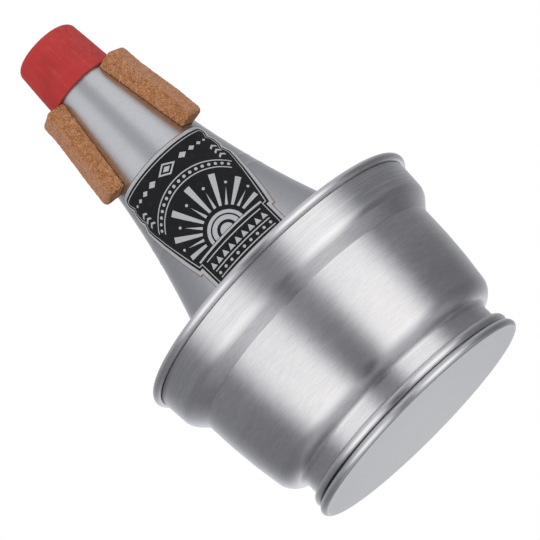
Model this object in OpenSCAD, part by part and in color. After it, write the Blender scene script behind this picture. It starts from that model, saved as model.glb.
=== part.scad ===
// Cup mute for a tenor trombone.
// The axis is +Z with the small end up. The origin is the middle of the end disc's flat face.
// The front is -Y, the side that the label faces. All sizes are in millimetres.

/* [Whole] */
// Height from the end disc's face to the top of the cap
total_h = 261; // [250:1:290]
// Thickness of the spun aluminium sheet
sheet = 0.8; // [0.6:0.1:1.2]
// Clearance between pieces that are pressed or laid on each other
fit_gap = 0.05; // [0.03:0.01:0.2]

/* [End disc] */
// How far the disc's rolled bead stands out from the neck of the cup
disc_out = 4.7; // [3.5:0.1:7]
// Height of the disc's rolled bead
disc_bead = 4.5; // [3:0.1:6]
// Height of the disc's inner flange, which plugs the cone's skirt
flange_h = 8; // [5:1:12]

/* [Cup] */
// Outside diameter of the neck
neck_d = 117.4; // [112:0.2:119]
// Height of the roll at the foot of the cup
foot_bead = 5.2; // [3:0.1:6]
// How far the foot roll stands out from the neck
foot_out = 3.4; // [2:0.1:4]
// Height of the underside of the cup where it leaves the neck
under_z = 18.7; // [14:0.1:20]
// Rise of that underside from the neck to the bowl
under_rise = 2.1; // [0.5:0.1:4]
// Radius of the hollow corner above the neck
neck_r = 3; // [1:0.5:5]
// Diameter at the bottom of the bowl, where its side and its underside would cross
bowl_d = 134.2; // [128:0.2:138]
// Radius of the round shoulder at the bottom of the bowl
bowl_r = 9.8; // [6:0.2:12]
// Diameter in the middle of the bowl, where the swelling side is widest for its height
swell_d = 143.2; // [140:0.2:146]
// Height of that place
swell_z = 46.9; // [42:0.5:52]
// Radius of the long swelling curve of the bowl's side
swell_r = 290; // [150:10:500]
// Diameter of the crease between the bowl and the step
crease_d = 144.6; // [143:0.2:148]
// Height of the crease
crease_z = 69.9; // [64:0.5:72]
// Radius of the crease
crease_r = 1.8; // [0.5:0.1:3]
// Diameter at the foot of the rim band, where the step and the band would cross
band_d = 157.5; // [154:0.5:160]
// Height of that place
band_z = 74.9; // [73:0.1:78]
// Radius of the round step under the band
step_r = 17; // [8:0.5:20]
// Outside diameter over the rolled rim
rim_d = 165; // [163:0.5:170]
// Thickness of the rolled rim
rim_bead = 4.4; // [3:0.1:6]
// How far the band lies inside the middle of that roll
band_in = 0.45; // [0:0.05:1]
// Height of the top of the rim above the disc's face
rim_z = 97.5; // [90:0.5:110]

/* [Cone] */
// Height at which the skirt inside the cup turns into the cone
shoulder_z = 71.2; // [60:0.5:80]
// Radius of that shoulder
shoulder_r = 20; // [8:1:40]
// Diameter where the slopes of the upper and the lower cone would cross
flare_d = 65.4; // [60:0.5:70]
// Height of that place
flare_z = 141.4; // [130:0.5:150]
// Radius of the long flare between the two slopes
flare_r = 450; // [150:10:600]
// Diameter of the small end
tip_d = 28.8; // [27:0.2:31]
// Thickness of the lining
lining_t = 0.8; // [0.4:0.1:1.5]

/* [Cap] */
// Diameter at the bottom of the cap
cap_d = 39.8; // [39:0.2:46]
// Diameter at the top of the cap, before its edge is rounded
cap_top_d = 36; // [33:0.2:40]
// Height of the cap
cap_h = 29.8; // [24:0.2:36]
// Thickness of the cap's end, above the end of the cone
cap_end = 6; // [3:0.5:9]
// Radius of the cap's outer edge
cap_r = 2.2; // [0.5:0.1:3]
// Diameter of the mouth
mouth_d = 26; // [20:0.5:27]

/* [Corks] */
// Length of a cork, along the axis
cork_l = 52.3; // [40:0.5:58]
// Width of a cork
cork_w = 10.1; // [7:0.1:14]
// Thickness of a cork, out from the cone
cork_t = 9.8; // [6:0.1:12]
// Angle of the two front corks from the front
cork_a = 57; // [50:1:65]
// Space between the corks and the cap
cork_gap = 0.6; // [0.3:0.1:5]
// Radius of the rounded lead at the upper end of a cork
cork_lead = 3; // [2:0.2:8]
// Radius at the lower end of a cork
cork_r = 2.6; // [0.5:0.1:4]

/* [Label] */
// Thickness of the label
label_t = 0.15; // [0.1:0.05:0.4]
// Space between the label and the lower ends of the corks
label_gap = 2.4; // [1:0.2:6]
// Height of the label, along the axis
label_h = 76; // [60:1:80]
// Width of the label round the cone at its top
label_top_w = 72; // [50:1:74]
// Width of the label round the cone at its foot
label_foot_w = 56; // [40:1:74]
// Radius of the label's upper corners
label_r = 7; // [2:0.5:10]

/* [Hidden] */
$fn = 96;
// Turn of an arc per step, in degrees
arc_step = 9;
// The same on the beads
bead_step = 30;

// Points on the section are [radius, height].
// Heading of the line from one point to the next
function heading(a, b) = atan2(b[1] - a[1], b[0] - a[0]);
function wrapped(a) = a > 180 ? a - 360 : a < -180 ? a + 360 : a;
// Turn of a line at its corner i, and how far a rounding reaches from the corner if it has room
function turn_at(line, i) = wrapped(heading(line[i], line[i + 1]) - heading(line[i - 1], line[i]));
function reach_at(line, i) =
    i <= 0 || i >= len(line) - 1 ? 0 : line[i][2] * tan(abs(turn_at(line, i)) / 2);
function side_at(line, i) = norm([line[i + 1][0] - line[i][0], line[i + 1][1] - line[i][1]]);
// Share of the side after corner i that two full roundings may take
function room_at(line, i) =
    min(1, side_at(line, i) / max(0.001, reach_at(line, i) + reach_at(line, i + 1)));
// The points of the rounding at corner i
function corner(line, i) =
    let (
        turn = turn_at(line, i),
        reach = reach_at(line, i) * min(room_at(line, i - 1), room_at(line, i)) * 0.99,
        r = reach / tan(abs(turn) / 2),
        side = turn > 0 ? 1 : -1,
        from = heading(line[i - 1], line[i]),
        start = [line[i][0], line[i][1]] - reach * [cos(from), sin(from)],
        centre = start + side * r * [-sin(from), cos(from)],
        steps = ceil(abs(turn) / arc_step) + 1
    )
    [for (k = [0 : steps])
        let (h = from + turn * k / steps)
        centre + side * r * [sin(h), -cos(h)]];
// A line of [radius, height, rounding], with its corners rounded
function rounded(line) =
    let (last = len(line) - 1)
    concat([[line[0][0], line[0][1]]],
        [for (i = [1 : last - 1], q = corner(line, i)) q],
        [[line[last][0], line[last][1]]]);
// The line moved t to its left
function moved(line, t) =
    let (last = len(line) - 1)
    [for (i = [0 : last])
        let (
            h0 = heading(line[max(i - 1, 0)], line[max(i, 1)]),
            h1 = heading(line[min(i, last - 1)], line[min(i + 1, last)]),
            half = wrapped(h1 - h0) / 2,
            h = h0 + half
        )
        line[i] + t / cos(half) * [-sin(h), cos(h)]];
// Points round a centre, from one angle to another
function arc(centre, r, from, to) =
    let (steps = ceil(abs(to - from) / bead_step))
    [for (i = [0 : steps])
        let (a = from + (to - from) * i / steps)
        centre + r * [cos(a), sin(a)]];
function backwards(line) = [for (i = [len(line) - 1 : -1 : 0]) line[i]];
// The section of a wall of thickness t, inside an outer line that runs upwards
function wall(line, t) = concat(line, backwards(moved(line, t)));
// Radius of a line that runs upwards, at height z
function radius_at(line, z) =
    let (n = len(line), hits = [for (i = [0 : n - 2]) if (line[i][1] <= z && z < line[i + 1][1]) i],
        i = len(hits) > 0 ? hits[0] : z < line[0][1] ? 0 : n - 2)
    line[i][0] + (line[i + 1][0] - line[i][0]) * (z - line[i][1]) / (line[i + 1][1] - line[i][1]);

// The two beads at the foot, one on the other
foot_z = disc_bead + fit_gap;
neck_in = neck_d / 2 - sheet;
skirt = neck_in - fit_gap;
// The foot of the skirt stands on the disc
skirt_z = sheet + fit_gap;
cap_z = total_h - cap_h;
tip_z = total_h - cap_end - fit_gap;
rim_c = [rim_d / 2 - rim_bead / 2, rim_z - rim_bead / 2];
foot_c = [neck_d / 2 + foot_out - foot_bead / 2, foot_z + foot_bead / 2];
// Radius of the band where it runs up into the roll of the rim
band_r = rim_c[0] - band_in;
// Angles on the two rolls at which the wall's outside leaves them
foot_turn = acos((neck_d / 2 - foot_c[0]) * 2 / foot_bead);
rim_turn = -acos(-band_in * 2 / rim_bead);
cup_line = rounded([
    [neck_d / 2, foot_c[1] + foot_bead / 2 * sin(foot_turn), 0],
    [neck_d / 2, under_z, neck_r],
    [bowl_d / 2, under_z + under_rise, bowl_r],
    [swell_d / 2, swell_z, swell_r],
    [crease_d / 2, crease_z, crease_r],
    [band_d / 2, band_z, step_r],
    [band_r, rim_c[1] + rim_bead / 2 * sin(rim_turn), 0]]);
body_line = rounded([
    [skirt, skirt_z, 0],
    [skirt, shoulder_z, shoulder_r],
    [flare_d / 2, flare_z, flare_r],
    [tip_d / 2, tip_z, 0]]);
// The lining stops short of both ends of the cone
lining_foot = flange_h + 4;
lining_line = moved(rounded([
    [skirt, lining_foot, 0],
    [skirt, shoulder_z, shoulder_r],
    [flare_d / 2, flare_z, flare_r],
    [tip_d / 2, tip_z, 0]]), sheet + fit_gap);
cork_z1 = cap_z - cork_gap;
cork_z0 = cork_z1 - cork_l;
label_z1 = cork_z0 - label_gap;
label_z0 = label_z1 - label_h;
// Heights at which the label's outline has a point, closer together on its upper corners
label_heights = concat([for (z = [label_z0 : 4 : label_z1 - label_r - 1]) z],
    [for (a = [0 : 15 : 90]) label_z1 - label_r * (1 - sin(a))]);
label_line = moved([for (z = label_heights) [radius_at(body_line, z), z]], -fit_gap);

module body_shell() {
    color("silver")
    rotate_extrude() polygon(wall(body_line, sheet));
}

module body_lining() {
    color("dimgray")
    rotate_extrude() polygon(wall(lining_line, lining_t));
}

module end_disc() {
    flange = skirt - sheet - fit_gap;
    bead = disc_bead / 2;
    bead_c = [neck_d / 2 + disc_out - bead, bead];
    color("lightgray")
    rotate_extrude() polygon(concat(
        [[0, 0]],
        arc(bead_c, bead, -90, 180 + asin((bead - sheet) / bead)),
        [[flange, sheet], [flange, flange_h], [flange - sheet, flange_h], [flange - sheet, sheet]],
        [[0, sheet]]));
}

module cup_shell() {
    foot = foot_bead / 2;
    rim = rim_bead / 2;
    inner = backwards(moved(cup_line, sheet));
    color("silver")
    rotate_extrude() polygon(concat(
        arc(foot_c, foot, -acos((neck_in - foot_c[0]) / foot), foot_turn),
        cup_line,
        arc(rim_c, rim, rim_turn, 360 - acos((band_r - sheet - rim_c[0]) / rim)),
        inner));
}

module tip_cap() {
    outer = rounded([
        [cap_d / 2, cap_z, 0],
        [cap_top_d / 2, total_h, cap_r],
        [mouth_d / 2, total_h, 1],
        [mouth_d / 2, total_h - cap_end, 0]]);
    inner = moved([
        [tip_d / 2, tip_z],
        [radius_at(body_line, cap_z), cap_z]], fit_gap);
    color("crimson")
    rotate_extrude() polygon(concat(outer, [[inner[0][0], total_h - cap_end]], [inner[1]]));
}

// A cork in the plane of the section, from below the cone's surface outwards
module cork_side() {
    top = radius_at(body_line, cork_z1);
    foot = radius_at(body_line, cork_z0);
    polygon(rounded([
        [foot - 2, cork_z0, 0],
        [foot + cork_t, cork_z0, cork_r],
        [top + cork_t, cork_z1, cork_lead],
        [top - 2, cork_z1, 0]]));
}

module cork(angle) {
    color("peru")
    difference() {
        rotate([0, 0, angle])
        translate([0, cork_w / 2, 0])
        rotate([90, 0, 0]) linear_extrude(height = cork_w) cork_side();
        rotate_extrude() polygon(concat([[0, skirt_z]], moved(body_line, -fit_gap), [[0, tip_z]]));
    }
}

module cork_left() {
    cork(-90 - cork_a);
}

module cork_right() {
    cork(-90 + cork_a);
}

module cork_rear() {
    cork(90);
}

// How far the rounding of an upper corner draws the label's side in at height z
function corner_in(z) =
    label_r - sqrt(max(0, pow(label_r, 2) - pow(max(0, z - label_z1 + label_r), 2)));
// Half the label's width round the cone at height z
function half_width(z) =
    let (share = (z - label_z0) / (label_z1 - label_z0))
    (label_foot_w + (label_top_w - label_foot_w) * share) / 2 - corner_in(z);
// A point of the label's outline as the front sees it: [x, z]
function label_edge(z) =
    let (r = radius_at(body_line, z))
    [r * sin(half_width(z) / r * 180 / PI), z];

module label() {
    side = [for (p = label_line) label_edge(p[1])];
    color("dimgray")
    intersection() {
        rotate_extrude() polygon(wall(label_line, -label_t));
        rotate([90, 0, 0]) linear_extrude(height = flare_d)
            polygon(concat(side, backwards([for (p = side) [-p[0], p[1]]])));
    }
}

body_shell();
body_lining();
end_disc();
cup_shell();
tip_cap();
cork_left();
cork_right();
cork_rear();
label();
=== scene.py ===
# A cup mute for a tenor trombone: the looks of its pieces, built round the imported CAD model.
# The axis is +Z with the small end up, the front is -Y, and the label faces the front.
# Lengths are in millimetres until a mesh is made, which is in metres, as are the scales and depths of the
# materials and all of the studio. Angles are in degrees.
import math

import bmesh
import bpy
import numpy as np
from mathutils import Matrix, Vector, noise
from mathutils.geometry import delaunay_2d_cdt


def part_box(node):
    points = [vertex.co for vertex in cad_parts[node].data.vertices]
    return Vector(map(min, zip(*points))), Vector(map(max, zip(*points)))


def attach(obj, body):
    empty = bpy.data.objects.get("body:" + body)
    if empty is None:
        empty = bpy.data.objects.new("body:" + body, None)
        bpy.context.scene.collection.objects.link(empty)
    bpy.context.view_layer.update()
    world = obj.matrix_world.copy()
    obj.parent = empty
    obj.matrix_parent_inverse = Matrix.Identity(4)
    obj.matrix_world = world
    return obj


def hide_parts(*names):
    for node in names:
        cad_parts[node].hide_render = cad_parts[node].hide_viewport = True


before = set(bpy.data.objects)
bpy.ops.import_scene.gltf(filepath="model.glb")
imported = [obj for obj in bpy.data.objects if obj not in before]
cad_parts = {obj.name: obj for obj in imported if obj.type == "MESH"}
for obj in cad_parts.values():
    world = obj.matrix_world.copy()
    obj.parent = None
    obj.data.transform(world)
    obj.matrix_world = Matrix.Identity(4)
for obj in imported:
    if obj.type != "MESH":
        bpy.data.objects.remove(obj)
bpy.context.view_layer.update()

MM = 0.001
# A length that counts as none
TINY = 0.001
# The noise vectors of the corks depend on a seed, which is the clock unless it is set
NOISE_SEED = 1
noise.seed_set(NOISE_SEED)


def box_of(node):
    """Lowest and highest corner of a CAD node, in millimetres."""
    low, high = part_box(node)
    return np.array(low) / MM, np.array(high) / MM


# Sizes that the frame gives
CAP_Z, TOP_Z = (corner[2] for corner in box_of("tip_cap"))
RIM_R, _, RIM_Z = box_of("cup_shell")[1]
LABEL_Z0, LABEL_Z1 = (corner[2] for corner in box_of("label"))

# Thickness of the sheet, and the gap between pieces that are pressed or glued together
SHEET = 0.8
FIT_GAP = 0.05

# End disc: how far its bead stands out from the neck, the bead's thickness and the flange's height
DISC_OUT = 4.7
DISC_BEAD = 4.5
FLANGE_H = 8

# Cup: its neck, and the rolls at its foot and its rim. The band is a little inside the rim roll's middle.
NECK_R = 58.7
FOOT_BEAD = 5.2
FOOT_OUT = 3.4
RIM_BEAD = 4.4
BAND_IN = 0.45
# Corners of the cup's outside, from the neck up: radius, height and rounding
NECK_TOP = (NECK_R, 18.7, 3)
SHOULDER = (67.1, 20.8, 9.8)
BOWL = (71.6, 46.9, 290)
CREASE = (72.3, 70.1, 0.8)
STEP = (78.75, 77.3, 8.5)
# The open seam between the rim's roll and the band: its width, and how far it runs in
SEAM = 0.4
SEAM_DEEP = 0.4
# Painted shade in the seams under the foot's roll and under the rim's: how far it reaches, and the angle
# round the axis at which it is darkest. The first lies a little outside the middle of the roll.
FOOT_SEAM_SHADE = (2, -145)
FOOT_SEAM_SHADE_OUT = 0.9
RIM_SEAM_SHADE = (0.6, -175)
# Height from which the cup has the marks of a lathe tool
TOOL_MARKS_Z = 75

# Cap: its radius at the foot and at the top, its mouth, and how far down the mouth's wall runs
CAP_R = 19.9
CAP_TOP_R = 17.75
MOUTH_R = 13
CAP_END = 6
# Its edges: how far the foot is drawn in, and the roundings of the foot, the top and the mouth
CAP_FOOT_IN = 0.4
CAP_FOOT_ROUND = 0.5
CAP_TOP_ROUND = 3.2
MOUTH_ROUND = 1.2
CAP_TURNS = 240
# Its dents: how deep they go and how many there are to a metre, and the same for deeper ones that die
# away above the foot, for which the number is to a radius. The face lies a little inside the CAD face.
DENT = 0.12
DENTS = 70
FOOT_DENT = 0.15
FOOT_DENTS = 3
FOOT_DENT_H = 3
CAP_UNDER = 0.1
# Points nearer to the cone than this are the cap's inside, which has no dents
CAP_INSIDE = 0.5

# Cone: where its skirt starts, and its small end inside the cap
SKIRT_R = NECK_R - SHEET - FIT_GAP
SKIRT_Z = 0.85
TIP_R = 14.4
TIP_Z = TOP_Z - (CAP_END + FIT_GAP)
# Corners of its outside: radius, height and rounding
SKIRT_TOP = (SKIRT_R, 71.2, 20)
FLARE = (32.7, 141.4, 450)
# Two faint ripples that the spinning left on it, as height and half width, and how high they stand
RIPPLES = ((142.4, 0.8), (149.6, 0.8))
RIPPLE_H = 0.14
# How many half widths of a ripple are drawn finely, and how finely
RIPPLE_REACH = 3
RIPPLE_STEP = 0.4

# Turned outlines, as points of (radius, height)


def cos(angle):
    return math.cos(math.radians(angle))


def sin(angle):
    return math.sin(math.radians(angle))


def acos(share):
    return math.degrees(math.acos(share))


def unit(angle):
    return np.array([cos(angle), sin(angle)])


def heading(a, b):
    """Direction from one point to another."""
    return math.degrees(math.atan2(b[1] - a[1], b[0] - a[0]))


def wrapped(angle):
    """The same angle between -180 and 180."""
    return (angle + 180) % 360 - 180


def arc(centre, radius, start, end, step=6):
    """Points round a centre, from one angle to another."""
    count = max(2, math.ceil(abs(end - start) / step))
    return [np.array(centre) + radius * unit(start + (end - start) * k / count) for k in range(count + 1)]


# Share of its room that a rounding may take, so that two never quite meet
ROOM = 0.99


def rounded(line, step):
    """A line of (radius, height, rounding) with its corners rounded. Neighbouring roundings share a side."""
    points = [np.array(p[:2], float) for p in line]
    last = len(points) - 1
    side = [np.linalg.norm(points[i + 1] - points[i]) for i in range(last)]
    head = [heading(points[i], points[i + 1]) for i in range(last)]
    turn = [0] + [wrapped(head[i] - head[i - 1]) for i in range(1, last)] + [0]
    reach = [p[2] * math.tan(math.radians(abs(t) / 2)) for p, t in zip(line, turn)]
    room = [min(1, side[i] / max(TINY, reach[i] + reach[i + 1])) for i in range(last)]
    made = [points[0]]
    for i in range(1, last):
        cut = reach[i] * min(room[i - 1], room[i]) * ROOM
        radius = cut / math.tan(math.radians(abs(turn[i]) / 2))
        hand = 1 if turn[i] > 0 else -1
        start = points[i] - cut * unit(head[i - 1])
        centre = start + hand * radius * unit(head[i - 1] + 90)
        first = head[i - 1] - 90 * hand
        made += arc(centre, radius, first, first + turn[i], step)
    return made + [points[last]]


def moved(line, by):
    """The line moved to its left."""
    last = len(line) - 1
    made = []
    for i, point in enumerate(line):
        before = heading(line[max(i - 1, 0)], line[max(i, 1)])
        after = heading(line[min(i, last - 1)], line[min(i + 1, last)])
        half = wrapped(after - before) / 2
        made.append(point + by / cos(half) * unit(before + half + 90))
    return made


def fine(line, most=3):
    """The line with points added, so that no stretch of it is longer than most."""
    made = [np.array(line[0], float)]
    for a, b in zip(line, line[1:]):
        count = max(1, math.ceil(np.linalg.norm(np.subtract(b, a)) / most))
        made += [np.array(a) + (np.array(b) - np.array(a)) * k / count for k in range(1, count + 1)]
    return made


def radius_at(line, z):
    """Radius at a height, or at each of several, of a line that runs upwards."""
    return np.interp(z, [p[1] for p in line], [p[0] for p in line])


# Middles of the two rolls, the band's radius, and the angle at which the neck leaves the foot's roll
RIM_C = (RIM_R - RIM_BEAD / 2, RIM_Z - RIM_BEAD / 2)
FOOT_C = (NECK_R + FOOT_OUT - FOOT_BEAD / 2, DISC_BEAD + FIT_GAP + FOOT_BEAD / 2)
BAND_R = RIM_C[0] - BAND_IN
FOOT_TURN = acos((NECK_R - FOOT_C[0]) * 2 / FOOT_BEAD)

# Outside of the cup, from the foot's roll to the seam of the rim
CUP_LINE = rounded([
    (NECK_R, FOOT_C[1] + FOOT_BEAD / 2 * sin(FOOT_TURN), 0),
    NECK_TOP, SHOULDER, BOWL, CREASE, STEP,
    (BAND_R, RIM_C[1] - RIM_BEAD / 2, 0)], step=4)
# Outside of the cone, from its foot inside the cup to its small end
BODY_LINE = rounded([(SKIRT_R, SKIRT_Z, 0), SKIRT_TOP, FLARE, (TIP_R, TIP_Z, 0)], step=1)

# Meshes

# Steps round the axis of a turned piece
LATHE_TURNS = 288
# Edges that turn by more than this are kept crisp
CRISP = 32
# Points nearer than this, in metres, become one
WELD = 1e-7
# Turn in degrees to a millimetre at which an edge counts as fully sharp, and the least length it is over
SHARPEST = 12
SHORTEST = 0.05
# Painted shade in a seam: the share of its reach over which it fades, how narrow its darkest place is, and
# how much shade the seam has away from there
SEAM_SHADE_FADE = 0.4
SEAM_SHADE_NARROW = 8
SEAM_SHADE_LEAST = 0.1


def add_object(name, data):
    """A new object in the scene."""
    made = bpy.data.objects.new(name, data)
    bpy.context.scene.collection.objects.link(made)
    return made


def hide_from(thing, *rays):
    """Keeps an object out of some kinds of rays."""
    for ray in rays:
        setattr(thing, "visible_" + ray, False)


def dress(piece, node):
    """Puts a piece in the place of a CAD node."""
    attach(piece, "root")
    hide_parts(node)


def new_piece(name, node, vertices, faces, material):
    """A mesh in the place of a CAD node, from points in millimetres."""
    mesh = bpy.data.meshes.new(name)
    mesh.from_pydata([tuple(p) for p in np.asarray(vertices, float) * MM], [], faces)
    mesh.validate()
    mesh.materials.append(material)
    piece = add_object(name, mesh)
    dress(piece, node)
    return piece


def smooth(piece):
    """Smooth shading that keeps crisp edges."""
    piece.data.shade_smooth()
    piece.data.set_sharp_from_angle(angle=math.radians(CRISP))


def weld(piece):
    """Joins points at the same place, such as those on the axis."""
    mesh = bmesh.new()
    mesh.from_mesh(piece.data)
    bmesh.ops.remove_doubles(mesh, verts=mesh.verts, dist=WELD)
    mesh.to_mesh(piece.data)
    mesh.free()


def point_values(piece, name, values):
    """A value per vertex, for the materials to read."""
    made = piece.data.attributes.new(name, "FLOAT", "POINT")
    made.data.foreach_set("value", np.asarray(values, np.float32))


def edge_values(section):
    """How sharply a closed section turns outwards at each point, from 0 to 1. It is 0 on the axis."""
    count = len(section)
    values = []
    for i in range(count):
        before, here, after = section[i - 1], section[i], section[(i + 1) % count]
        turn = wrapped(heading(here, after) - heading(before, here))
        length = (np.linalg.norm(here - before) + np.linalg.norm(after - here)) / 2
        values.append(turn / max(length, SHORTEST) if here[0] > 0 else 0)
    return np.clip(np.array(values) / SHARPEST, 0, 1)


def seam_shade_values(section, seams, rings):
    """How much painted shade each point has, from its nearness to seams, each a (radius, height, reach,
    darkest angle).
    """
    seam_shade = np.zeros((len(rings), len(section)))
    for radius, height, reach, angle in seams:
        gap = np.array([np.hypot(p[0] - radius, p[1] - height) for p in section])
        near = np.clip((reach - gap) / (SEAM_SHADE_FADE * reach), 0, 1)
        share = np.array([max(0, cos(a - angle)) ** SEAM_SHADE_NARROW for a in rings])
        seam_shade = np.maximum(seam_shade, np.outer(SEAM_SHADE_LEAST + (1 - SEAM_SHADE_LEAST) * share, near))
    return seam_shade.ravel()


def lathe(name, node, section, material, turns=LATHE_TURNS, seams=()):
    """A turned piece, from a closed section of (radius, height) that runs with its material on the left."""
    section = [np.array(p, float) for p in section]
    count = len(section)
    rings = [360 * k / turns for k in range(turns)]
    vertices = [(p[0] * cos(a), p[0] * sin(a), p[1]) for a in rings for p in section]
    faces = []
    for k in range(turns):
        here, there = k * count, (k + 1) % turns * count
        for i in range(count):
            j = (i + 1) % count
            faces.append((here + i, there + i, there + j, here + j))
    piece = new_piece(name, node, vertices, faces, material)
    point_values(piece, "edge", np.tile(edge_values(section), turns))
    point_values(piece, "seam_shade", seam_shade_values(section, seams, rings))
    weld(piece)
    smooth(piece)
    return piece


# Materials


class Nodes:
    """A node tree, with short calls that add a node and link it."""

    def __init__(self, tree):
        self.tree = tree

    def put(self, socket, value):
        """Links an output to a socket, or sets the socket's value."""
        if isinstance(value, bpy.types.NodeSocket):
            self.tree.links.new(value, socket)
        else:
            socket.default_value = value

    def node(self, kind, inputs=(), **settings):
        """A new node, with its inputs by name or number."""
        made = self.tree.nodes.new(kind)
        for key, value in settings.items():
            setattr(made, key, value)
        for key, value in dict(inputs).items():
            self.put(made.inputs[key], value)
        return made

    def add(self, a, b):
        return self.node("ShaderNodeMath", {0: a, 1: b}, operation="ADD").outputs[0]

    def times(self, a, b):
        return self.node("ShaderNodeMath", {0: a, 1: b}, operation="MULTIPLY").outputs[0]

    def most(self, a, b):
        return self.node("ShaderNodeMath", {0: a, 1: b}, operation="MAXIMUM").outputs[0]

    def mix_shader(self, factor, a, b):
        return self.node("ShaderNodeMixShader", {0: factor, 1: a, 2: b}).outputs[0]


class Surface(Nodes):
    """The nodes of a new material. Its places are the object's own, in metres."""

    def __init__(self, name):
        self.material = bpy.data.materials.new(name)
        self.material.use_nodes = True
        super().__init__(self.material.node_tree)
        self.shader = self.tree.nodes["Principled BSDF"]

    def set(self, **values):
        """Sets the shader's sockets, named with _ for a space."""
        for key, value in values.items():
            self.put(self.shader.inputs[key.replace("_", " ")], value)

    def show(self, shader):
        """Shows another shader's output in place of the first."""
        self.put(self.tree.nodes["Material Output"].inputs["Surface"], shader)

    def place(self):
        return self.node("ShaderNodeTexCoord").outputs["Object"]

    def split(self, vector):
        """The three parts of a vector."""
        return self.node("ShaderNodeSeparateXYZ", {0: vector}).outputs

    def join(self, x, y, z):
        return self.node("ShaderNodeCombineXYZ", {0: x, 1: y, 2: z}).outputs[0]

    def vector(self, operation, a, b=(0, 0, 0)):
        """A sum on vectors, with an output for a vector and one for a number."""
        return self.node("ShaderNodeVectorMath", {0: a, 1: b}, operation=operation).outputs

    def noise(self, scale, detail=2, roughness=0.5, place=None):
        """A noise, with scale of its lumps to a metre."""
        return self.node("ShaderNodeTexNoise", {
            "Vector": self.place() if place is None else place,
            "Scale": scale, "Detail": detail, "Roughness": roughness}).outputs["Fac"]

    def streaks(self, along, up, detail=2, roughness=0.5):
        """A noise of marks that run round the axis, with along of them to a radius, each up metres high."""
        x, y, z = self.split(self.place())
        x, y, _ = self.split(self.vector("NORMALIZE", self.join(x, y, 0.0))["Vector"])
        turned = self.join(self.times(x, along), self.times(y, along), self.times(z, 1 / up))
        return self.noise(1, detail, roughness, turned)

    def cells(self, scale):
        """A value for each cell of a pattern, with scale of them to a metre."""
        made = self.node("ShaderNodeTexVoronoi", {"Vector": self.place(), "Scale": scale})
        return self.split(made.outputs["Color"])[0]

    def value(self, name):
        """One of the piece's values per vertex."""
        return self.node("ShaderNodeAttribute", attribute_name=name).outputs["Fac"]

    def span(self, value, low, high, start=0.0, end=1.0):
        """Maps start to low and end to high, and stops there."""
        return self.node("ShaderNodeMapRange", {
            "Value": value, "From Min": start, "From Max": end, "To Min": low, "To Max": high}).outputs[0]

    def about(self, middle, noise_value, by):
        """A value that a noise takes to either side of its middle."""
        return self.span(noise_value, middle - by, middle + by, *NOISE)

    def weighed(self, first, *others):
        """The sum of some values, each given with its weight."""
        total = self.times(*first)
        for part in others:
            total = self.add(total, self.times(*part))
        return total

    def mix(self, factor, a, b):
        """A colour between two. The node's inputs 6 and 7 and its output 2 are the ones for colours."""
        return self.node("ShaderNodeMix", {0: factor, 6: a, 7: b}, data_type="RGBA").outputs[2]

    def layered(self, skin, *layers):
        """The skin under layers, each a (value, start, end, share, tint): as its value goes from start to
        end, the tint covers none of the skin up to its share of it."""
        for value, start, end, share, tint in layers:
            skin = self.mix(self.span(value, 0, share, start, end), skin, tint)
        return skin

    def bump(self, height, depth, under=None):
        """A relief whose full range is depth metres, on top of another."""
        inputs = {"Height": height, "Distance": depth, "Strength": 1.0}
        if under is not None:
            inputs["Normal"] = under
        return self.node("ShaderNodeBump", inputs).outputs[0]


def colour(red, green, blue):
    """A linear colour from one written as it looks on a screen, 0 to 255."""
    made = [c / 255 / 12.92 if c <= 10 else ((c / 255 + 0.055) / 1.055) ** 2.4 for c in (red, green, blue)]
    return (*made, 1)


def grey(level):
    """A linear grey."""
    return (level, level, level, 1)


def shade(tint, factor, lift=0):
    """A linear colour made darker or brighter."""
    return (*(min(1, c * factor + lift) for c in tint[:3]), 1)


CUP_METAL = colour(205, 205, 208)
CONE_METAL = colour(200, 201, 204)
DISC_METAL = colour(187, 189, 192)
# Paler colour of the disc's bead and sharp edges: painted light
DISC_EDGE_LIGHT = colour(224, 225, 228)
# Painted shade in the cup's seams
SEAM_SHADE_TINT = colour(56, 53, 51)
RUBBER_DARK = colour(180, 46, 46)
RUBBER_PALE = colour(196, 58, 56)
RUBBER_SCUFF = colour(214, 120, 116)
RUBBER_RUBBED = colour(208, 104, 104)
# Paler red of the cap's right side: painted light
RUBBER_LIT_SIDE = colour(206, 112, 110)
RUBBER_EDGE = colour(194, 66, 62)
# Browner, darker red of the cap's foot: painted shade where it meets the cone
RUBBER_FOOT_SHADE = colour(140, 62, 44)
CORK_DARK = colour(183, 119, 73)
CORK_PALE = colour(213, 154, 106)
CORK_PATCH = colour(214, 156, 118)
# Paler, pinker tint of the faces that look outwards: painted light
CORK_OUTER_LIT = colour(202, 150, 124)
CORK_CHIP = colour(238, 192, 154)
CORK_FLECK = colour(128, 72, 38)
CORK_SPECK = colour(84, 44, 24)
# Darkening in the cracks and pits: painted shade
CORK_CREVICE_SHADE = colour(92, 50, 24)
FOIL_SILVER = colour(190, 191, 195)
FOIL_BLACK = colour(25, 26, 28)
# Dark grey of the label's cut edge, and of the line round it on its face, which is painted shade
FOIL_CUT_AND_SHADE = colour(88, 84, 84)
FOIL_BROWNED = colour(150, 104, 84)
LINING_DARK = colour(58, 55, 52)
LINING_PALE = colour(92, 88, 84)

# The range that a noise mostly keeps to
NOISE = (0.3, 0.7)
# Spun metal: height of its brushed lines, roughness, and how far its shine is drawn out across them
BRUSHED = 0.0005
SPUN_ROUGH = 0.34
SHINE_DRAWN = 0.75
# Marks of the lathe tool: their share of the tone, and over what height they set in. They are clear on the
# right from TOOL_SIDE off the axis, and fade to a lesser share as far off on the left.
TOOL_SHARE = 0.7
TOOL_SET_IN = 2
TOOL_SIDE = 80
TOOL_LEFT = 0.35
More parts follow.
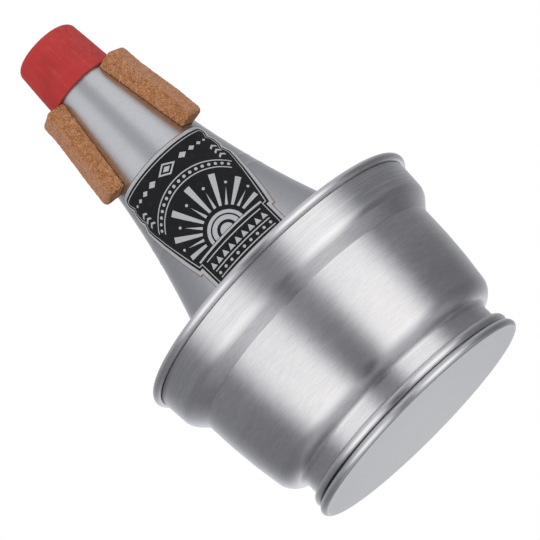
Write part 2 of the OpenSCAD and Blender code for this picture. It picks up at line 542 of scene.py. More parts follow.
# Roughness of the disc, and how much smoother its edges are
DISC_ROUGH = 0.4
EDGE_POLISH = 0.08
# Height of the painted shade that browns the cap's foot, and how far out the painted light on its right side
# is strongest
FOOT_SHADE_H = 0.8
LIT_SIDE_OUT = 0.8 * CAP_R
# Keeps the cork's specks apart from its flecks
SPECK_SHIFT = (3, 1, 2)
# How far in from the label's edge age has browned it
BROWNED_IN = 1.6


def spun_metal(name, base, contrast, turned_from=None):
    """Satin aluminium, brushed round the axis, with painted shade in its seams. Above turned_from it has the
    long marks of a lathe tool.
    """
    g = Surface(name)
    tone = g.weighed((g.streaks(along=11, up=BRUSHED), 0.5),
                     (g.streaks(along=50, up=0.6 * BRUSHED), 0.35),
                     (g.streaks(along=1, up=7 * BRUSHED), 0.15))
    if turned_from is not None:
        marks = g.streaks(along=2, up=0.9 * BRUSHED, detail=3, roughness=0.75)
        across, _, height = g.split(g.place())
        half = TOOL_SET_IN / 2
        high = g.span(height, 0, 1, (turned_from - half) * MM, (turned_from + half) * MM)
        clear = g.times(high, g.span(across, TOOL_LEFT, 1, -TOOL_SIDE * MM, TOOL_SIDE * MM))
        tone = g.add(g.times(tone, g.span(clear, 1, 1 - TOOL_SHARE)),
                     g.times(g.span(marks, 0, 1, *NOISE), g.span(clear, 0, TOOL_SHARE)))
    pale = shade(base, 1 + contrast)
    skin = g.layered(shade(base, 1 - contrast),
                     (tone, *NOISE, 1, pale),
                     (g.value("edge"), 0, 1, 0.5, pale),
                     # painted shade that darkens the seams
                     (g.value("seam_shade"), 0, 1, 0.92, SEAM_SHADE_TINT))
    rough = g.add(g.about(0, tone, by=0.05), g.about(SPUN_ROUGH, g.noise(scale=22, detail=3), by=0.03))
    tangent = g.node("ShaderNodeTangent", direction_type="RADIAL", axis="Z").outputs[0]
    g.set(Base_Color=skin, Metallic=1.0, Roughness=rough, Anisotropic=SHINE_DRAWN,
          Anisotropic_Rotation=0.25, Normal=g.bump(tone, depth=0.000003), Tangent=tangent)
    return g.material


def disc_satin():
    """Fine satin aluminium with no direction to its grain, paler on its bead and sharp edges with painted
    light.
    """
    g = Surface("disc_satin")
    grain = g.noise(scale=1800)
    edge = g.value("edge")
    skin = g.layered(shade(DISC_METAL, 0.97),
                     (g.noise(scale=30, detail=3), *NOISE, 1, DISC_METAL),
                     # painted light on the bead and sharp edges
                     (edge, 0, 1, 0.5, DISC_EDGE_LIGHT))
    rough = g.add(g.about(DISC_ROUGH, grain, by=0.03), g.span(edge, 0, -EDGE_POLISH))
    g.set(Base_Color=skin, Metallic=1.0, Roughness=rough, Normal=g.bump(grain, depth=0.000006))
    return g.material


def red_rubber():
    """Matt rubber, scuffed round the axis, paler on the right with painted light, and browned at its foot
    with painted shade.
    """
    g = Surface("red_rubber")
    across, _, height = g.split(g.place())
    soft = g.noise(scale=60, detail=4)
    grain = g.noise(scale=1500)
    # painted light: paler on the right side, in patches
    lit_patches = g.noise(scale=420, detail=5, roughness=0.75)
    lit_side = g.times(g.span(lit_patches, 0, 1, 0.42, 0.66), g.span(across, 0, 1, 0, LIT_SIDE_OUT * MM))
    # painted shade: browner and darker at the foot
    foot = g.span(height, 1, 0, CAP_Z * MM, (CAP_Z + FOOT_SHADE_H) * MM)
    skin = g.layered(RUBBER_DARK,
                     (soft, *NOISE, 1, RUBBER_PALE),
                     (g.streaks(along=3, up=0.012, detail=5, roughness=0.7), 0.58, 0.8, 0.25, RUBBER_SCUFF),
                     (g.streaks(along=9, up=0.03, detail=3, roughness=0.6), 0.5, 0.8, 0.22, RUBBER_RUBBED),
                     (lit_side, 0, 1, 0.34, RUBBER_LIT_SIDE),
                     (g.value("edge"), 0, 1, 0.4, RUBBER_EDGE),
                     (foot, 0, 1, 0.7, RUBBER_FOOT_SHADE))
    g.set(Base_Color=skin, Roughness=g.span(soft, 0.55, 0.72), Specular_IOR_Level=0.35,
          Normal=g.bump(grain, depth=0.00003, under=g.bump(soft, depth=0.0002)))
    return g.material


def granulated_cork():
    """Pressed grains of two browns, with pale chips, dark flecks and specks, and painted shade in its cracks
    and pits.
    """
    g = Surface("granulated_cork")
    fleck = g.noise(scale=2300, detail=3, roughness=0.6)
    speck = g.noise(scale=1250, detail=1, place=g.vector("ADD", g.place(), SPECK_SHIFT)["Vector"])
    skin = g.layered(CORK_DARK,
                     (g.value("grain"), 0, 1, 1, CORK_PALE),
                     (g.noise(scale=260, detail=3), 0.35, 0.75, 0.5, CORK_PATCH),
                     # painted light on the faces that look outwards
                     (g.value("outer"), 0, 1, 0.6, CORK_OUTER_LIT),
                     (g.cells(scale=1900), 0.6, 1, 0.55, CORK_CHIP),
                     (fleck, 0.54, 0.66, 0.75, CORK_FLECK),
                     (speck, 0.66, 0.7, 0.95, CORK_SPECK),
                     # painted shade in the cracks and pits
                     (g.value("crevice_shade"), 0, 1, 1, CORK_CREVICE_SHADE))
    g.set(Base_Color=skin, Roughness=0.85, Specular_IOR_Level=0.25, Normal=g.bump(fleck, depth=0.0003))
    return g.material


def printed_foil(name, ink, roughness, specular):
    """One ink of the label, faintly rubbed, and browned by age at the label's edge."""
    g = Surface(name)
    rub = g.noise(scale=420, detail=4, roughness=0.65)
    stain = g.span(g.noise(scale=70, detail=3), 0, 1, 0.52, 0.66)
    aged = g.times(g.span(g.value("margin"), 1, 0, 0, BROWNED_IN), stain)
    skin = g.layered(ink,
                     (rub, 0.55, 0.85, 0.8, shade(ink, 1.1, lift=0.02)),
                     (aged, 0, 1, 0.9, FOIL_BROWNED))
    rough = g.span(g.noise(scale=40), roughness - 0.05, roughness + 0.05)
    g.set(Base_Color=skin, Metallic=0.0, Roughness=rough, Specular_IOR_Level=specular,
          Normal=g.bump(rub, depth=0.00001))
    return g.material


def cast_lining():
    """A coat of hard composition, rough as cast."""
    g = Surface("cast_lining")
    lumps = g.noise(scale=500, detail=4, roughness=0.6)
    skin = g.layered(LINING_DARK, (lumps, *NOISE, 1, LINING_PALE))
    g.set(Base_Color=skin, Roughness=0.9, Normal=g.bump(lumps, depth=0.0004))
    return g.material


# Turned pieces


def end_disc():
    """The disc, from its flat face round its bead to the flange that plugs the cone's skirt."""
    bead = DISC_BEAD / 2
    centre = (NECK_R + DISC_OUT - bead, bead)
    flange = SKIRT_R - SHEET - FIT_GAP
    section = [(0.0, 0.0)]
    section += arc(centre, bead, -90, 180 + math.degrees(math.asin((bead - SHEET) / bead)))
    section += [(flange, SHEET), (flange, FLANGE_H), (flange - SHEET, FLANGE_H), (flange - SHEET, SHEET)]
    section += [(0.0, SHEET)]
    lathe("end_disc_turned", "end_disc", fine(section, most=4), disc_satin())


def cup_shell():
    """The cup, from its foot's roll up the outside, round the rim's roll and down the inside."""
    foot = FOOT_BEAD / 2
    rim = RIM_BEAD / 2
    band_end = CUP_LINE[-1]
    seam = [band_end - (0, SEAM), band_end + (-SEAM_DEEP, SEAM / 3)]
    foot_start = -acos((NECK_R - SHEET - FOOT_C[0]) / foot)
    rim_start = -acos(-(BAND_IN - SEAM / 2) / rim)
    rim_end = 360 - acos((BAND_R - SHEET - RIM_C[0]) / rim)
    section = arc(FOOT_C, foot, foot_start, FOOT_TURN)
    section += fine(CUP_LINE[:-1] + [seam[0]])[1:] + [seam[1]]
    section += arc(RIM_C, rim, rim_start, rim_end)
    section += fine(moved(CUP_LINE, SHEET)[::-1])[1:]
    metal = spun_metal("cup_metal", CUP_METAL, contrast=0.17, turned_from=TOOL_MARKS_Z)
    # The seams under the foot's roll and under the rim's roll are darkened with painted shade
    lathe("cup_shell_spun", "cup_shell", section, metal,
          seams=[(FOOT_C[0] + FOOT_SEAM_SHADE_OUT, DISC_BEAD, *FOOT_SEAM_SHADE), (*band_end, *RIM_SEAM_SHADE)])


def rippled(point):
    """Whether a point of the cone is on one of its ripples."""
    return any(abs(point[1] - z) < RIPPLE_REACH * wide for z, wide in RIPPLES)


def cone_line():
    """Outside of the cone, with its ripples."""
    points = [p for p in fine(BODY_LINE) if not rippled(p)]
    points += [p for p in fine(BODY_LINE, RIPPLE_STEP) if rippled(p)]
    made = []
    for point in sorted(points, key=lambda p: p[1]):
        out = sum(RIPPLE_H * math.exp(-((point[1] - z) / wide) ** 2) for z, wide in RIPPLES)
        made.append(point + (out, 0))
    return made


def body_shell():
    """The cone, up its outside and down its inside."""
    section = cone_line() + fine(moved(BODY_LINE, SHEET))[::-1]
    metal = spun_metal("cone_metal", CONE_METAL, contrast=0.09)
    lathe("body_shell_spun", "body_shell", section, metal)


def tip_cap():
    """The cap, turned and then dented."""
    outer = rounded([
        (CAP_R - CAP_FOOT_IN, CAP_Z, 0),
        (CAP_R, CAP_Z + CAP_FOOT_ROUND, CAP_FOOT_ROUND),
        (CAP_TOP_R, TOP_Z, CAP_TOP_ROUND),
        (MOUTH_R, TOP_Z, MOUTH_ROUND),
        (MOUTH_R, TOP_Z - CAP_END, 0)], step=6)
    inner = [(TIP_R + FIT_GAP, TOP_Z - CAP_END), (radius_at(BODY_LINE, CAP_Z) + FIT_GAP, CAP_Z)]
    piece = lathe("tip_cap_moulded", "tip_cap", fine(outer + inner, most=0.8), red_rubber(),
                  turns=CAP_TURNS)
    for vertex in piece.data.vertices:
        x, y, z = vertex.co
        if vertex.co.xy.length / MM <= radius_at(BODY_LINE, z / MM) + CAP_INSIDE:
            continue
        out = Vector((x, y, 0)).normalized()
        low = math.exp(-(z / MM - CAP_Z) / FOOT_DENT_H)
        dent = noise.noise(Vector((x, y, z)) * DENTS) * DENT
        dent += low * noise.noise(out * FOOT_DENTS) * FOOT_DENT
        vertex.co += out * (dent - CAP_UNDER) * MM


def body_lining():
    """The lining keeps its CAD solid, with a finish of its own."""
    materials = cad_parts["body_lining"].data.materials
    materials.clear()
    materials.append(cast_lining())


# Corks

# How far each stands out at its upper end, and how far its lower end is worn down
CORKS = {"cork_left": (1.1, 0.2), "cork_right": (1.1, 1.0), "cork_rear": (0.6, 0.4)}
# Shares of its length, from the lower end up: the wear is full and ends, and standing out begins and is full
FILED_AT = (0.04, 0.3, 0.75, 0.95)
# Height over the cone from which a point moves with the outer face in full
FULL_H = 9
# How far apart the corks are in the noise, so that no two are alike
CORKS_APART = 100
# Worn edges: their width, their steps, and the least turn of an edge that has one
EDGE_WEAR = 1.8
EDGE_STEPS = 4
EDGE_TURN = 35
# The fine mesh: its grid, and how it is softened
VOXEL = 0.32
SOFTEN = 0.5
SOFTEN_TIMES = 8
# Grains: their size, and how far and how finely their borders wander
GRAIN = 1.3
WANDER = 0.4
WANDERS = 1.1
# Cracks between grains: depth, width as a share of a grain, the strength of their painted shade, and the
# patches in which they open
CRACK = 0.14
CRACK_WIDE = 0.2
CRACK_SHADE = 0.55
PATCHES = 0.35
PATCH_GAIN = 1.3
PATCH_LESS = 0.2
# Pits where a grain is missing: depth, radius as a share of a grain, and the share of grains that stay
PIT = 0.5
PIT_R = 0.42
STAY = 0.9
# Scale and shift that give each grain a cell of its own in the noise for its tint and for whether it stays
CELL_SCALE = 7.3
CELL_SHIFT = Vector((0.5, 0.5, 0.5))
# Fine roughness and broad lumps: how high and how many to a millimetre
ROUGH = 0.1
ROUGHS = 2.1
LUMP = 0.2
LUMPS = 0.12
# How squarely a face must look outwards to begin to have the painted light of the outer faces, and how much
# more for all of it
OUTER_FROM = 0.35
OUTER_FADE = 0.55


def cork_block(node):
    """The CAD block with worn edges, as a fine mesh."""
    piece = add_object(node + "_block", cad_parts[node].data.copy())
    bevel = piece.modifiers.new("worn_edges", "BEVEL")
    bevel.width = EDGE_WEAR * MM
    bevel.segments = EDGE_STEPS
    bevel.angle_limit = math.radians(EDGE_TURN)
    remesh = piece.modifiers.new("fine", "REMESH")
    remesh.mode = "VOXEL"
    remesh.voxel_size = VOXEL * MM
    soften = piece.modifiers.new("soften", "SMOOTH")
    soften.factor = SOFTEN
    soften.iterations = SOFTEN_TIMES
    graph = bpy.context.evaluated_depsgraph_get()
    made = bpy.data.meshes.new_from_object(piece.evaluated_get(graph))
    piece.modifiers.clear()
    piece.data = made
    return piece


def cork(node, full, worn, shift, material):
    """A block of granulated cork: worn down at one end, proud at the other, cracked and pitted."""
    piece = cork_block(node)
    mesh = piece.data
    middle = sum((v.co for v in mesh.vertices), Vector()) / len(mesh.vertices)
    outward = Vector((middle.x, middle.y, 0)).normalized()
    low, high = box_of(node)
    grain, crevice_shade, outer = [], [], []
    for vertex, normal in zip(mesh.vertices, [v.normal.copy() for v in mesh.vertices]):
        at = vertex.co / MM + Vector((shift, 0, 0))
        wander = noise.noise_vector(at * WANDERS) * WANDER
        distances, sites = noise.voronoi((at + wander) / GRAIN)
        cell = noise.cell(sites[0] * CELL_SCALE + CELL_SHIFT)
        patch = noise.noise(at * PATCHES) * 0.5 + 0.5
        border = max(0, 1 - (distances[1] - distances[0]) / CRACK_WIDE)
        crack = border * max(0, PATCH_GAIN * patch - PATCH_LESS)
        hole = max(0, 1 - distances[0] / PIT_R) if cell > STAY else 0
        rough = noise.noise(at * ROUGHS)
        lump = noise.noise(at * LUMPS)
        share = (vertex.co.z / MM - low[2]) / (high[2] - low[2])
        stand = vertex.co.dot(outward) / MM - radius_at(BODY_LINE, vertex.co.z / MM)
        filed = np.interp(share, FILED_AT, (-worn, 0, 0, full))
        vertex.co += outward * filed * min(1, stand / FULL_H) * MM
        vertex.co -= normal * (CRACK * crack + PIT * hole + ROUGH * rough + LUMP * lump) * MM
        grain.append(cell)
        # painted shade in the cracks and pits
        crevice_shade.append(min(1, crack * CRACK_SHADE + hole))
        # painted light on the faces that look outwards
        outer.append(min(1, max(0, (normal.dot(outward) - OUTER_FROM) / OUTER_FADE)))
    mesh.materials.clear()
    mesh.materials.append(material)
    point_values(piece, "grain", grain)
    point_values(piece, "crevice_shade", crevice_shade)
    point_values(piece, "outer", outer)
    mesh.shade_smooth()
    dress(piece, node)


def corks():
    """The three corks, all of one material."""
    material = granulated_cork()
    for k, (node, (full, worn)) in enumerate(CORKS.items()):
        cork(node, full, worn, k * CORKS_APART, material)


# Label. Its print is laid out flat: x round the cone from the middle, y up from its foot.

LABEL_H = LABEL_Z1 - LABEL_Z0
LABEL_T = 0.15
# Its right side, from the foot up: half the width, the height and the rounding of each corner
LABEL_SIDE = (
    (23.6, 0, 0.5), (24.2, 16.4, 0.3), (26.3, 16.4, 0.4), (34.6, 54, 1.5), (32.1, 58.2, 0.8),
    (33.5, 60.5, 1.5), (33.3, 65, 1.2), (31.3, 67.3, 0.8), (33, 70.5, 1.5), (32.8, LABEL_H, 5))
# Corners up to this height belong to the ledge over the foot, which an inset moves up
LEDGE_TOP = 20
# Least rounding of an inset top corner
TOP_ROUND = 2
# How far in the silver border, the black ground and the line inside them start, and the line's width
CUT = 0.3
BORDER = 2.1
LINE_IN = 3.2
LINE = 0.45
# The middle of the half sun, and its rings from the lowest layer up: ink, inner and outer radius
SUN = (0, 22)
SUN_RINGS = (("silver", 0, 10), ("black", 7.4, 8.2), ("black", 0, 5), ("silver", 0, 3.4))
# Its rays: how many to either side of the upright one, the angle between them, and where they start
RAYS = 6
RAY_TURN = 13.2
RAY_START = 12.4
# Broad rays: half their width in degrees, where they end, and how far short of the label's side they stop
BROAD_WIDE = 3.2
BROAD_END = 30
BROAD_SHORT = 5
# Pointed rays between them: half their width, their length, and the place and radius of a dot beyond each
POINTED_WIDE = 3.4
POINTED_LONG = 9.5
POINTED_DOT = 12
POINTED_DOT_R = 0.75
# Two arcs over the sun: their radii, half their thickness, how far down they turn, how many dots are
# between them to either side of the middle one, and the dots' radius
ARCS = (33.4, 37.6)
ARC_HALF = 0.3
ARC_TURN = 46
ARC_DOTS = 8
ARC_DOT_R = 0.85
# A row of diamonds: its height, the layers of the middle one as ink, width and height, the places and
# widths of those to either side, and their height as a share of the width
DIAMONDS_Y = 66.4
MIDDLE_DIAMOND = (("silver", 11, 7.2), ("black", 8, 5.2), ("silver", 4.6, 3))
SIDE_DIAMONDS = ((10.2, 5), (16.2, 4), (21.2, 3.1), (25.2, 2.3))
SIDE_DIAMOND_TALL = 0.7
# Three chevrons to either side: place, heights, half width, rise and thickness
CHEVRONS_X = 26
CHEVRONS_Y = (53, 56.2, 59.4)
CHEVRON_HALF = 2.3
CHEVRON_RISE = 1.3
CHEVRON_THICK = 1.2
# Bars under the sun: height, thickness and reach to either side
BARS = ((20.6, 1.1, 21), (18.2, 0.6, 18), (11.4, 0.6, 18), (7.2, 0.6, 18))
# A row of triangles between bars, with a dot under each: how many to either side of the middle one, how far
# apart, the foot, height and half width of each, and the height and radius of the dots
TRIANGLES = 4
TRIANGLES_APART = 4.2
TRIANGLE_FOOT = 13.2
TRIANGLE_H = 3.4
TRIANGLE_HALF = 1.7
ROW_DOT_Y = 9.6
ROW_DOT_R = 0.8
# How finely the outlines of the print and its dots are drawn, in millimetres and in degrees
PRINT_STEP = 1.5
SECTOR_STEP = 4
DOT_STEP = 20
# What the triangulation gives: 1 is the triangles inside the outlines alone
INSIDE = 1
# A grid of points bends the foil evenly: its spacing, its first point, what stays free at the edge, and how
# far out it reaches along the top before it is cut slantwise for the rounded corners
GRID = 2
GRID_START = (1.1, 2.3)
GRID_EDGE = 1
GRID_CORNER = 20


def label_side(y):
    """Half the label's width at a height."""
    return np.interp(y, [p[1] for p in LABEL_SIDE], [p[0] for p in LABEL_SIDE])


def panel(inset):
    """The label's outline, inset all round."""
    foot, *corners, top = LABEL_SIDE
    line = [(0, inset, 0), (foot[0] - inset, inset, foot[2])]
    line += [(x - inset, y + inset if y < LEDGE_TOP else y, turn) for x, y, turn in corners]
    line += [(top[0] - inset, top[1] - inset, max(TOP_ROUND, top[2] - inset)), (0, top[1] - inset, 0)]
    right = rounded(line, step=10)
    return right + [p * (-1, 1) for p in right[-2:0:-1]]


def from_sun(radius, angle):
    """A point at a distance from the sun's middle, at an angle from straight up."""
    return np.array(SUN) + radius * unit(90 - angle)


def sector(inner, outer, start, end):
    """A piece of a ring round the sun's middle, between two angles from straight up."""
    core = arc(SUN, inner, 90 - start, 90 - end, SECTOR_STEP) if inner else [np.array(SUN, float)]
    return arc(SUN, outer, 90 - end, 90 - start, SECTOR_STEP) + core


def dot(centre, radius):
    return arc(centre, radius, 0, 360 - DOT_STEP, DOT_STEP)


def bar(y, thick, reach):
    return [(-reach, y), (reach, y), (reach, y + thick), (-reach, y + thick)]


def diamond(x, y, width, height):
    return [(x - width / 2, y), (x, y - height / 2), (x + width / 2, y), (x, y + height / 2)]


def triangle(x):
    return [(x - TRIANGLE_HALF, TRIANGLE_FOOT), (x + TRIANGLE_HALF, TRIANGLE_FOOT),
            (x, TRIANGLE_FOOT + TRIANGLE_H)]


def chevron(x, y):
    under = [(x - CHEVRON_HALF, y), (x, y + CHEVRON_RISE), (x + CHEVRON_HALF, y)]
    return under + [(px, py + CHEVRON_THICK) for px, py in reversed(under)]


def rays():
    """The sun's rays: broad ones that widen outwards, and a pointed one with a dot between each two."""
    made = []
    for k in range(-RAYS, RAYS + 1):
        angle = RAY_TURN * k
        if k % 2 == 0:
            room = (label_side(SUN[1]) - BROAD_SHORT) / max(TINY, abs(sin(angle)))
            made.append(sector(RAY_START, min(BROAD_END, room), angle - BROAD_WIDE, angle + BROAD_WIDE))
            continue
        foot = [from_sun(RAY_START, angle - side) for side in (POINTED_WIDE, -POINTED_WIDE)]
        made.append(foot + [from_sun(RAY_START + POINTED_LONG, angle)])
        made.append(dot(from_sun(RAY_START + POINTED_DOT, angle), POINTED_DOT_R))
    return made


def arcs():
    """The two arcs over the sun, and the dots between them."""
    made = [sector(radius - ARC_HALF, radius + ARC_HALF, -ARC_TURN, ARC_TURN) for radius in ARCS]
    for k in range(-ARC_DOTS, ARC_DOTS + 1):
        made.append(dot(from_sun(sum(ARCS) / 2, k * ARC_TURN / (ARC_DOTS + 0.5)), ARC_DOT_R))
    return made


def ornaments():
    """The small shapes over and under the sun, but for the middle diamond."""
    made = [diamond(side * x, DIAMONDS_Y, width, width * SIDE_DIAMOND_TALL)
            for x, width in SIDE_DIAMONDS for side in (-1, 1)]
    made += [chevron(side * CHEVRONS_X, y) for y in CHEVRONS_Y for side in (-1, 1)]
    made += [bar(*size) for size in BARS]
    for k in range(-TRIANGLES, TRIANGLES + 1):
        made += [triangle(TRIANGLES_APART * k), dot((TRIANGLES_APART * k, ROW_DOT_Y), ROW_DOT_R)]
    return made


def label_print():
    """The label's shapes from the lowest layer up, each with its ink. Each runs anticlockwise."""
    # The outermost shape is a dark line round the label's edge: painted shade beside its cut edge
    shapes = [("cut", panel(0)), ("silver", panel(CUT)), ("black", panel(BORDER)),
              ("silver", panel(LINE_IN)), ("black", panel(LINE_IN + LINE))]
    shapes += [(ink, sector(inner, outer, -90, 90)) for ink, inner, outer in SUN_RINGS]
    shapes += [("silver", shape) for shape in rays() + arcs()]
    shapes += [(ink, diamond(0, DIAMONDS_Y, width, height)) for ink, width, height in MIDDLE_DIAMOND]
    shapes += [("silver", shape) for shape in ornaments()]
    return shapes


def cut_print():
    """The label laid flat and cut along its print: its points, its triangles and each triangle's ink."""
    shapes = [(ink, fine(list(line) + [line[0]], PRINT_STEP)[:-1]) for ink, line in label_print()]
    points, loops = [], []
    for _, line in shapes:
        loops.append(list(range(len(points), len(points) + len(line))))
        points += [Vector(p) for p in line]
    for y in np.arange(GRID_START[1], LABEL_H - GRID_EDGE, GRID):
        row = np.arange(GRID_START[0], label_side(y) - GRID_EDGE, GRID)
        row = [x for x in row if x + y < LABEL_H + GRID_CORNER]
        points += [Vector((side * x, y)) for side in (-1, 1) for x in row]
    flat, _, triangles, _, _, owners = delaunay_2d_cdt(points, [], loops, INSIDE, TINY)
    used = sorted({i for face in triangles for i in face})
    new = {old: k for k, old in enumerate(used)}
    flat = np.array([flat[i][:] for i in used])
    return flat, [tuple(new[i] for i in face) for face in triangles], [shapes[max(o)][0] for o in owners]


def label():
    """The label as a thin sheet on the cone, cut along its print, so that each face has one ink."""
    flat, triangles, inks = cut_print()
    count = len(flat)
    z = LABEL_Z0 + flat[:, 1]
    # How far round the cone each point is, in radians
    turn = flat[:, 0] / radius_at(BODY_LINE, z)
    vertices = []
    for out in (FIT_GAP + LABEL_T, FIT_GAP):
        radius = radius_at(cone_line(), z) + out
        vertices += list(zip(radius * np.sin(turn), -radius * np.cos(turn), z))
    back = [tuple(i + count for i in reversed(face)) for face in triangles]
    sides = {(a, b) for face in triangles for a, b in zip(face, face[1:] + face[:1])}
    edge = sorted((b, a, a + count, b + count) for a, b in sides if (b, a) not in sides)
    materials = {
        "silver": printed_foil("label_silver", FOIL_SILVER, roughness=0.5, specular=0.3),
        "black": printed_foil("label_black", FOIL_BLACK, roughness=0.5, specular=0.15),
        "cut": printed_foil("label_edge", FOIL_CUT_AND_SHADE, roughness=0.7, specular=0.2)}
    piece = new_piece("label_foil", "label", vertices, triangles + back + edge,
                      materials["silver"])
    for ink in ("black", "cut"):
        piece.data.materials.append(materials[ink])
    face_inks = inks + ["silver"] * len(back) + ["cut"] * len(edge)
    piece.data.polygons.foreach_set("material_index", [list(materials).index(ink) for ink in face_inks])
    margin = np.minimum(label_side(flat[:, 1]) - abs(flat[:, 0]), LABEL_H - flat[:, 1])
    point_values(piece, "margin", np.tile(margin, 2))
    smooth(piece)


# Studio, in metres

# Middle of the object, towards which the lamps face
MIDDLE = Vector((0, 0, 0.13))
# A tent of cards that only reflections see: its radius, and its steps round and up
TENT_R = 2.5
TENT_ROUND = 180
TENT_UP = 90
# Elevations at which the brightness of the cards is given
HEIGHTS = (-75, -50, -32, -10, 0, 13, 25, 40, 75)
# The cards, from the front round to the back: two broad white ones with a dark gap between them, dark
# sides, and a white back. The sides and corners differ a little from left to right.
FRONT = (0, 0, 0.1, 0.2, 0.22, 0.27, 0.4, 0.75, 0.75)
WHITE_LEFT = (0.5, 1.05, 1.35, 1.6, 1.5, 1.05, 0.95, 0.7, 0.75)
WHITE_RIGHT = (0.5, 1.05, 1.45, 1.7, 1.6, 1.1, 1, 0.7, 0.75)
DARK_LEFT = (0.6, 0.5, 0.2, 0.22, 0.24, 0.32, 0.35, 0.5, 0.7)
DARK_RIGHT = (0.6, 0.5, 0.16, 0.18, 0.2, 0.3, 0.4, 0.65, 0.7)
CORNER_LEFT = (0.15, 0.15, 0.25, 0.4, 0.45, 0.45, 0.45, 0.5, 0.7)
CORNER_RIGHT = (0.15, 0.15, 0.25, 0.32, 0.35, 0.42, 0.45, 0.65, 0.7)
REAR_LEFT = (0.35, 0.35, 0.35, 0.8, 0.95, 0.85, 0.45, 0.45, 0.7)
REAR_RIGHT = (0.35, 0.35, 0.4, 0.55, 0.6, 0.6, 0.7, 0.7, 0.7)
BACK = (0.3, 0.45, 1.1, 1.25, 1.2, 1.05, 0.8, 0.75, 0.7)
# Where they stand, as azimuths: 0 is the front and 90 the right. A card that is named twice running
# reaches from the first place to the second, and in between the brightness goes evenly over.
TENT = ((-180, BACK), (-162, REAR_LEFT), (-144, CORNER_LEFT), (-128, DARK_LEFT), (-80, DARK_LEFT),
        (-59, WHITE_LEFT), (-24, WHITE_LEFT), (-10, FRONT), (12, FRONT), (24, WHITE_RIGHT),
        (59, WHITE_RIGHT), (80, DARK_RIGHT), (128, DARK_RIGHT), (144, CORNER_RIGHT),
        (162, REAR_RIGHT), (180, BACK))
# Up to the first brightness a card is a little blue, and from the second on a little warm
COOL_UP_TO = 0.95
WARM_FROM = 1.3
COOL = (0.98, 0.99, 1.035, 1)
WARM = (1.02, 1.0, 0.968, 1)

# Two soft boxes: how far to either side and how high they stand, their distance, their width and height,
# and their power. The world adds an even light.
LAMP_TURN = 45
LAMP_RISE = 12
LAMP_FAR = 1.8
LAMP_SIZE = (1.5, 1.8)
LAMP_W = 10.5
AMBIENT = 0.5

# Floor: its radius, the steps of its edge in degrees, how far it is under the object, the shares of its
# radius between which it fades out, and its paper
FLOOR_R = 1.5
FLOOR_STEP = 3
FLOOR_UNDER = 0.0002
FLOOR_FADE = (0.4, 0.95)
PAPER = 0.86
# Light that it adds for the camera alone, so that it looks nearly white
FLOOR_GLOW = 0.26

# Camera: its place, how far it looks up, how far it is turned on its axis, and its lens and sensor
CAMERA_AT = Vector((0.0004, -1.320, -0.1978))
CAMERA_PITCH = 12.84
CAMERA_TURN = 45.41
CAMERA_LENS = 189.6
CAMERA_SENSOR = 36


def level_at(azimuth, elevation):
    """Brightness of the tent in a direction from the object."""
    places, cards = zip(*TENT)
    levels = [np.interp(azimuth, places, level) for level in zip(*cards)]
    return float(np.interp(elevation, HEIGHTS, levels))


def direction(azimuth, elevation):
    """A direction from the object, with azimuths as for the tent."""
    flat = cos(elevation)
    return Vector((flat * sin(azimuth), -flat * cos(azimuth), sin(elevation)))


def tent_cloth():
    """Glows as brightly as its level says."""
    g = Surface("tent_cloth")
    level = g.value("level")
    tint = g.mix(g.span(level, 0, 1, COOL_UP_TO, WARM_FROM), COOL, WARM)
    g.show(g.node("ShaderNodeEmission", {"Color": tint, "Strength": level}).outputs[0])
    g.material.cycles.emission_sampling = "NONE"
    return g.material


def studio_tent():
    """A tent of white and grey cards round the object, which only its reflections see."""
    vertices, levels, faces = [], [], []
    for i in range(TENT_UP + 1):
        elevation = -90 + 180 * i / TENT_UP
        for k in range(TENT_ROUND):
            azimuth = 360 * k / TENT_ROUND - 180
            vertices.append(MIDDLE + direction(azimuth, elevation) * TENT_R)
            levels.append(level_at(azimuth, elevation))
    for low in range(0, TENT_UP * TENT_ROUND, TENT_ROUND):
        high = low + TENT_ROUND
        for k in range(TENT_ROUND):
            j = (k + 1) % TENT_ROUND
            faces.append((low + k, low + j, high + j, high + k))
    mesh = bpy.data.meshes.new("studio_tent")
    mesh.from_pydata(vertices, [], faces)
    mesh.materials.append(tent_cloth())
    tent = add_object("studio_tent", mesh)
    point_values(tent, "level", levels)
    hide_from(tent, "camera", "diffuse", "shadow", "transmission")


def soft_box(name, azimuth):
    """A lamp that faces the object."""
    light = bpy.data.lights.new(name, "AREA")
    light.shape = "RECTANGLE"
    light.size, light.size_y = LAMP_SIZE
    light.energy = LAMP_W
    holder = add_object(name, light)
    out = direction(azimuth, LAMP_RISE)
    holder.location = MIDDLE + out * LAMP_FAR
    holder.rotation_euler = out.to_track_quat("Z", "Y").to_euler()
    hide_from(holder, "camera", "glossy")


def white_world():
    """White behind the object and in reflections, and a plain grey light from all round."""
    world = bpy.data.worlds.new("studio")
    bpy.context.scene.world = world
    world.use_nodes = True
    world.node_tree.nodes.clear()
    g = Nodes(world.node_tree)
    rays = g.node("ShaderNodeLightPath").outputs
    seen = g.most(g.most(rays["Is Camera Ray"], rays["Is Glossy Ray"]), rays["Is Transmission Ray"])
    light = g.node("ShaderNodeBackground", {0: grey(AMBIENT)}).outputs[0]
    back = g.node("ShaderNodeBackground", {0: grey(1)}).outputs[0]
    g.node("ShaderNodeOutputWorld", {0: g.mix_shader(seen, light, back)})


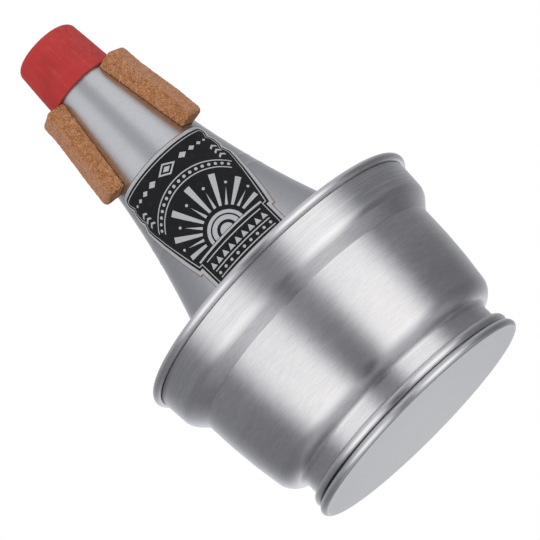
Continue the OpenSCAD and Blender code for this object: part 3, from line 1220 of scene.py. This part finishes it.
def floor_paper():
    """Pale paper that isn't there for a camera under it and fades out far from the object."""
    g = Surface("floor_paper")
    x, y, _ = g.split(g.place())
    away = g.vector("LENGTH", g.join(x, y, 0.0))["Value"]
    fade = g.span(away, 0, 1, FLOOR_R * FLOOR_FADE[0], FLOOR_R * FLOOR_FADE[1])
    under = g.node("ShaderNodeNewGeometry").outputs["Backfacing"]
    seen = g.node("ShaderNodeLightPath").outputs["Is Camera Ray"]
    g.set(Base_Color=grey(PAPER), Roughness=0.9, Specular_IOR_Level=0.1, Emission_Color=grey(1),
          Emission_Strength=g.times(seen, FLOOR_GLOW))
    clear = g.node("ShaderNodeBsdfTransparent").outputs[0]
    g.show(g.mix_shader(g.most(fade, under), g.shader.outputs[0], clear))
    return g.material


def pale_floor():
    """A round floor that only the camera sees: it takes the object's shadow and sends no light back."""
    mesh = bpy.data.meshes.new("floor")
    ring = [(FLOOR_R * cos(a), FLOOR_R * sin(a), -FLOOR_UNDER) for a in range(0, 360, FLOOR_STEP)]
    mesh.from_pydata(ring, [], [tuple(range(len(ring)))])
    mesh.materials.append(floor_paper())
    floor = add_object("floor", mesh)
    hide_from(floor, "diffuse", "glossy", "transmission", "shadow")


def camera():
    """The photograph's view: from below, turned so that the axis lies on the picture's diagonal."""
    view = bpy.data.cameras.new("camera")
    view.lens = CAMERA_LENS
    view.sensor_width = CAMERA_SENSOR
    side = Vector((1, 0, 0))
    up = Vector((0, -sin(CAMERA_PITCH), cos(CAMERA_PITCH)))
    back = -Vector((0, cos(CAMERA_PITCH), sin(CAMERA_PITCH)))
    right = side * cos(CAMERA_TURN) - up * sin(CAMERA_TURN)
    top = side * sin(CAMERA_TURN) + up * cos(CAMERA_TURN)
    made = add_object("camera", view)
    made.matrix_world = Matrix.Translation(CAMERA_AT) @ Matrix((right, top, back)).transposed().to_4x4()
    bpy.context.scene.camera = made


camera()
white_world()
studio_tent()
soft_box("lamp_left", -LAMP_TURN)
soft_box("lamp_right", LAMP_TURN)
pale_floor()
end_disc()
cup_shell()
body_shell()
tip_cap()
corks()
label()
body_lining()

scene = bpy.context.scene
scene.view_settings.view_transform = "Standard"
